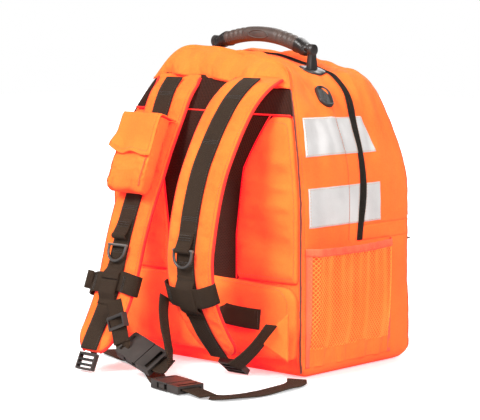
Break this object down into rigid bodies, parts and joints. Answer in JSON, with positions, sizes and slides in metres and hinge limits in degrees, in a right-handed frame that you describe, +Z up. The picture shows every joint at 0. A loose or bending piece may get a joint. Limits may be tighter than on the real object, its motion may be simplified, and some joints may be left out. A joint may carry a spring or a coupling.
{
  "type": "work rucksack",
  "caption": "Hi-vis orange work rucksack with padded harness, zipped lid, mesh side pockets, reflective tape, phone pouch and moulded carrying handle.",
  "frame": {"origin": "middle of the bag's bottom, on the floor", "axes": "+Z up, -Y towards the harness side worn on the back, +Y towards the front pocket, +X the side with the cable port"},
  "size_m": [0.3855, 0.4334, 0.4424],
  "materials": {
    "orange_cloth": "matt fluorescent coated polyester weave",
    "pocket_mesh": "open knitted mesh",
    "spacer_mesh": "black air mesh",
    "webbing": "ribbed polypropylene webbing",
    "zip_tape": "woven tape with nylon coil",
    "reflective_tape": "glass bead retroreflective",
    "zip_slider": "black lacquer",
    "ring_metal": "black lacquered wire",
    "buckle_plastic": "moulded acetal",
    "grip": "soft touch moulding",
    "rubber": "matt moulded rubber"
  },
  "bodies": {
    "bag": {"back_panel": "orange_cloth", "side_panel_left": "orange_cloth", "side_panel_right": "orange_cloth", "top_panel": "orange_cloth", "bottom_panel": "orange_cloth", "lower_front_panel": "orange_cloth", "front_pocket": "orange_cloth", "pocket_zip": "zip_tape", "main_zip_body": "zip_tape", "back_pad_left": "orange_cloth", "back_pad_right": "orange_cloth", "mesh_panel": "spacer_mesh", "yoke": "orange_cloth", "lumbar_pad": "orange_cloth", "lumbar_loop": "webbing", "side_pocket_left": "pocket_mesh", "side_pocket_right": "pocket_mesh", "pocket_bindings": "orange_cloth", "tape_body": "reflective_tape", "cable_port": "rubber", "handle_bases": "rubber", "shoulder_pad_left": "orange_cloth", "shoulder_pad_right": "orange_cloth", "strap_webbing_left": "webbing", "strap_webbing_right": "webbing", "ring_loops": "webbing", "cross_bands": "webbing", "lower_webbing_left": "webbing", "lower_webbing_right": "webbing", "anchor_wings": "orange_cloth", "sternum_webbing_left": "webbing", "sternum_webbing_right": "webbing", "sternum_female": "buckle_plastic", "waist_webbing": "webbing", "waist_female": "buckle_plastic", "phone_pouch": "orange_cloth"},
    "lid": {"lid_gusset": "orange_cloth", "lid_panel": "orange_cloth", "main_zip_lid": "zip_tape", "tape_lid": "reflective_tape"},
    "main_slider": {"main_slider": "zip_slider"},
    "main_pull": {"main_pull": "zip_slider"},
    "pocket_slider": {"pocket_slider": "zip_slider"},
    "pocket_pull": {"pocket_pull": "zip_slider"},
    "handle": {"handle_grip": "grip", "handle_caps": "rubber"},
    "d_ring_left": {"d_ring_left": "ring_metal"},
    "d_ring_right": {"d_ring_right": "ring_metal"},
    "ladder_lock_left": {"ladder_lock_left": "buckle_plastic"},
    "ladder_lock_right": {"ladder_lock_right": "buckle_plastic"},
    "phone_flap": {"phone_flap": "orange_cloth"},
    "tri_glide": {"tri_glide": "buckle_plastic"},
    "sternum_plug": {"sternum_male": "buckle_plastic"},
    "sternum_arm_upper": {"sternum_arm_upper": "buckle_plastic"},
    "sternum_arm_lower": {"sternum_arm_lower": "buckle_plastic"},
    "waist_plug": {"waist_male": "buckle_plastic"},
    "waist_arm_front": {"waist_arm_front": "buckle_plastic"},
    "waist_arm_rear": {"waist_arm_rear": "buckle_plastic"}
  },
  "joints": [
    {"name": "lid_fold", "type": "hinge", "parent": "bag", "child": "lid", "pos_m": [0, 0.12, 0.168], "axis": [-1, 0, 0], "range_deg": [0, 75]},
    {"name": "main_zip_slide", "type": "slide", "parent": "bag", "child": "main_slider", "axis": [0, 0.0995, 0.995], "range_m": [0, 0.035]},
    {"name": "main_pull_swing", "type": "hinge", "parent": "main_slider", "child": "main_pull", "pos_m": [-0.1775, -0.0032, 0.206], "axis": [0, 1, 0], "range_deg": [0, 150]},
    {"name": "pocket_zip_slide", "type": "slide", "parent": "bag", "child": "pocket_slider", "axis": [-1, 0, 0], "range_m": [0, 0.21]},
    {"name": "pocket_pull_swing", "type": "hinge", "parent": "pocket_slider", "child": "pocket_pull", "pos_m": [0.11, 0.128, 0.1573], "axis": [0, -1, 0], "range_deg": [0, 15]},
    {"name": "handle_tilt", "type": "hinge", "parent": "bag", "child": "handle", "pos_m": [-0.00014, -0.004, 0.41708], "axis": [0.9983, 0, -0.0576], "range_deg": [-35, 35]},
    {"name": "d_ring_left_swing", "type": "hinge", "parent": "bag", "child": "d_ring_left", "pos_m": [-0.076, -0.20315, 0.15982], "axis": [-1, 0, 0], "range_deg": [0, 120]},
    {"name": "d_ring_right_swing", "type": "hinge", "parent": "bag", "child": "d_ring_right", "pos_m": [0.072, -0.23359, 0.16792], "axis": [-1, 0, 0], "range_deg": [0, 120]},
    {"name": "phone_flap_lift", "type": "hinge", "parent": "bag", "child": "phone_flap", "pos_m": [-0.076, -0.1348, 0.31494], "axis": [-1, 0, 0], "range_deg": [0, 80]},
    {"name": "tri_glide_slide", "type": "slide", "parent": "bag", "child": "tri_glide", "axis": [0.3519, -0.0931, -0.9314], "range_m": [-0.012, 0.012]},
    {"name": "sternum_release", "type": "slide", "parent": "bag", "child": "sternum_plug", "axis": [0.9511, 0, -0.309], "range_m": [0, 0.028], "deforming": ["sternum_webbing_right"]},
    {"name": "sternum_squeeze_upper", "type": "hinge", "parent": "sternum_plug", "child": "sternum_arm_upper", "pos_m": [0.01419, -0.22853, 0.03678], "axis": [0.2531, -0.5736, 0.7791], "range_deg": [0, 7], "stiffness_Nm_per_rad": 0.3},
    {"name": "sternum_squeeze_lower", "type": "hinge", "parent": "sternum_plug", "child": "sternum_arm_lower", "pos_m": [0.00923, -0.25147, 0.02151], "axis": [-0.2531, 0.5736, -0.7791], "range_deg": [0, 7], "stiffness_Nm_per_rad": 0.3},
    {"name": "waist_release", "type": "slide", "parent": "bag", "child": "waist_plug", "axis": [0.9781, -0.2079, 0], "range_m": [0, 0.028], "deforming": ["waist_webbing"]},
    {"name": "waist_squeeze_rear", "type": "hinge", "parent": "waist_plug", "child": "waist_arm_rear", "pos_m": [0.10078, -0.25355, 0.0065], "axis": [0, 0, 1], "range_deg": [0, 7], "stiffness_Nm_per_rad": 0.3},
    {"name": "waist_squeeze_front", "type": "hinge", "parent": "waist_plug", "child": "waist_arm_front", "pos_m": [0.09496, -0.28094, 0.0065], "axis": [0, 0, -1], "range_deg": [0, 7], "stiffness_Nm_per_rad": 0.3},
    {"name": "ladder_lock_left_swing", "type": "hinge", "parent": "bag", "child": "ladder_lock_left", "pos_m": [-0.076, -0.254, 0.025], "axis": [1, 0, 0], "range_deg": [-12, 12]},
    {"name": "ladder_lock_right_swing", "type": "hinge", "parent": "bag", "child": "ladder_lock_right", "pos_m": [0.078, -0.16, 0.022], "axis": [1, 0, 0], "range_deg": [-12, 12]}
  ],
  "couplings": [
    {"joint": "sternum_squeeze_lower", "follows": "sternum_squeeze_upper", "ratio": 1},
    {"joint": "waist_squeeze_front", "follows": "waist_squeeze_rear", "ratio": 1}
  ]
}
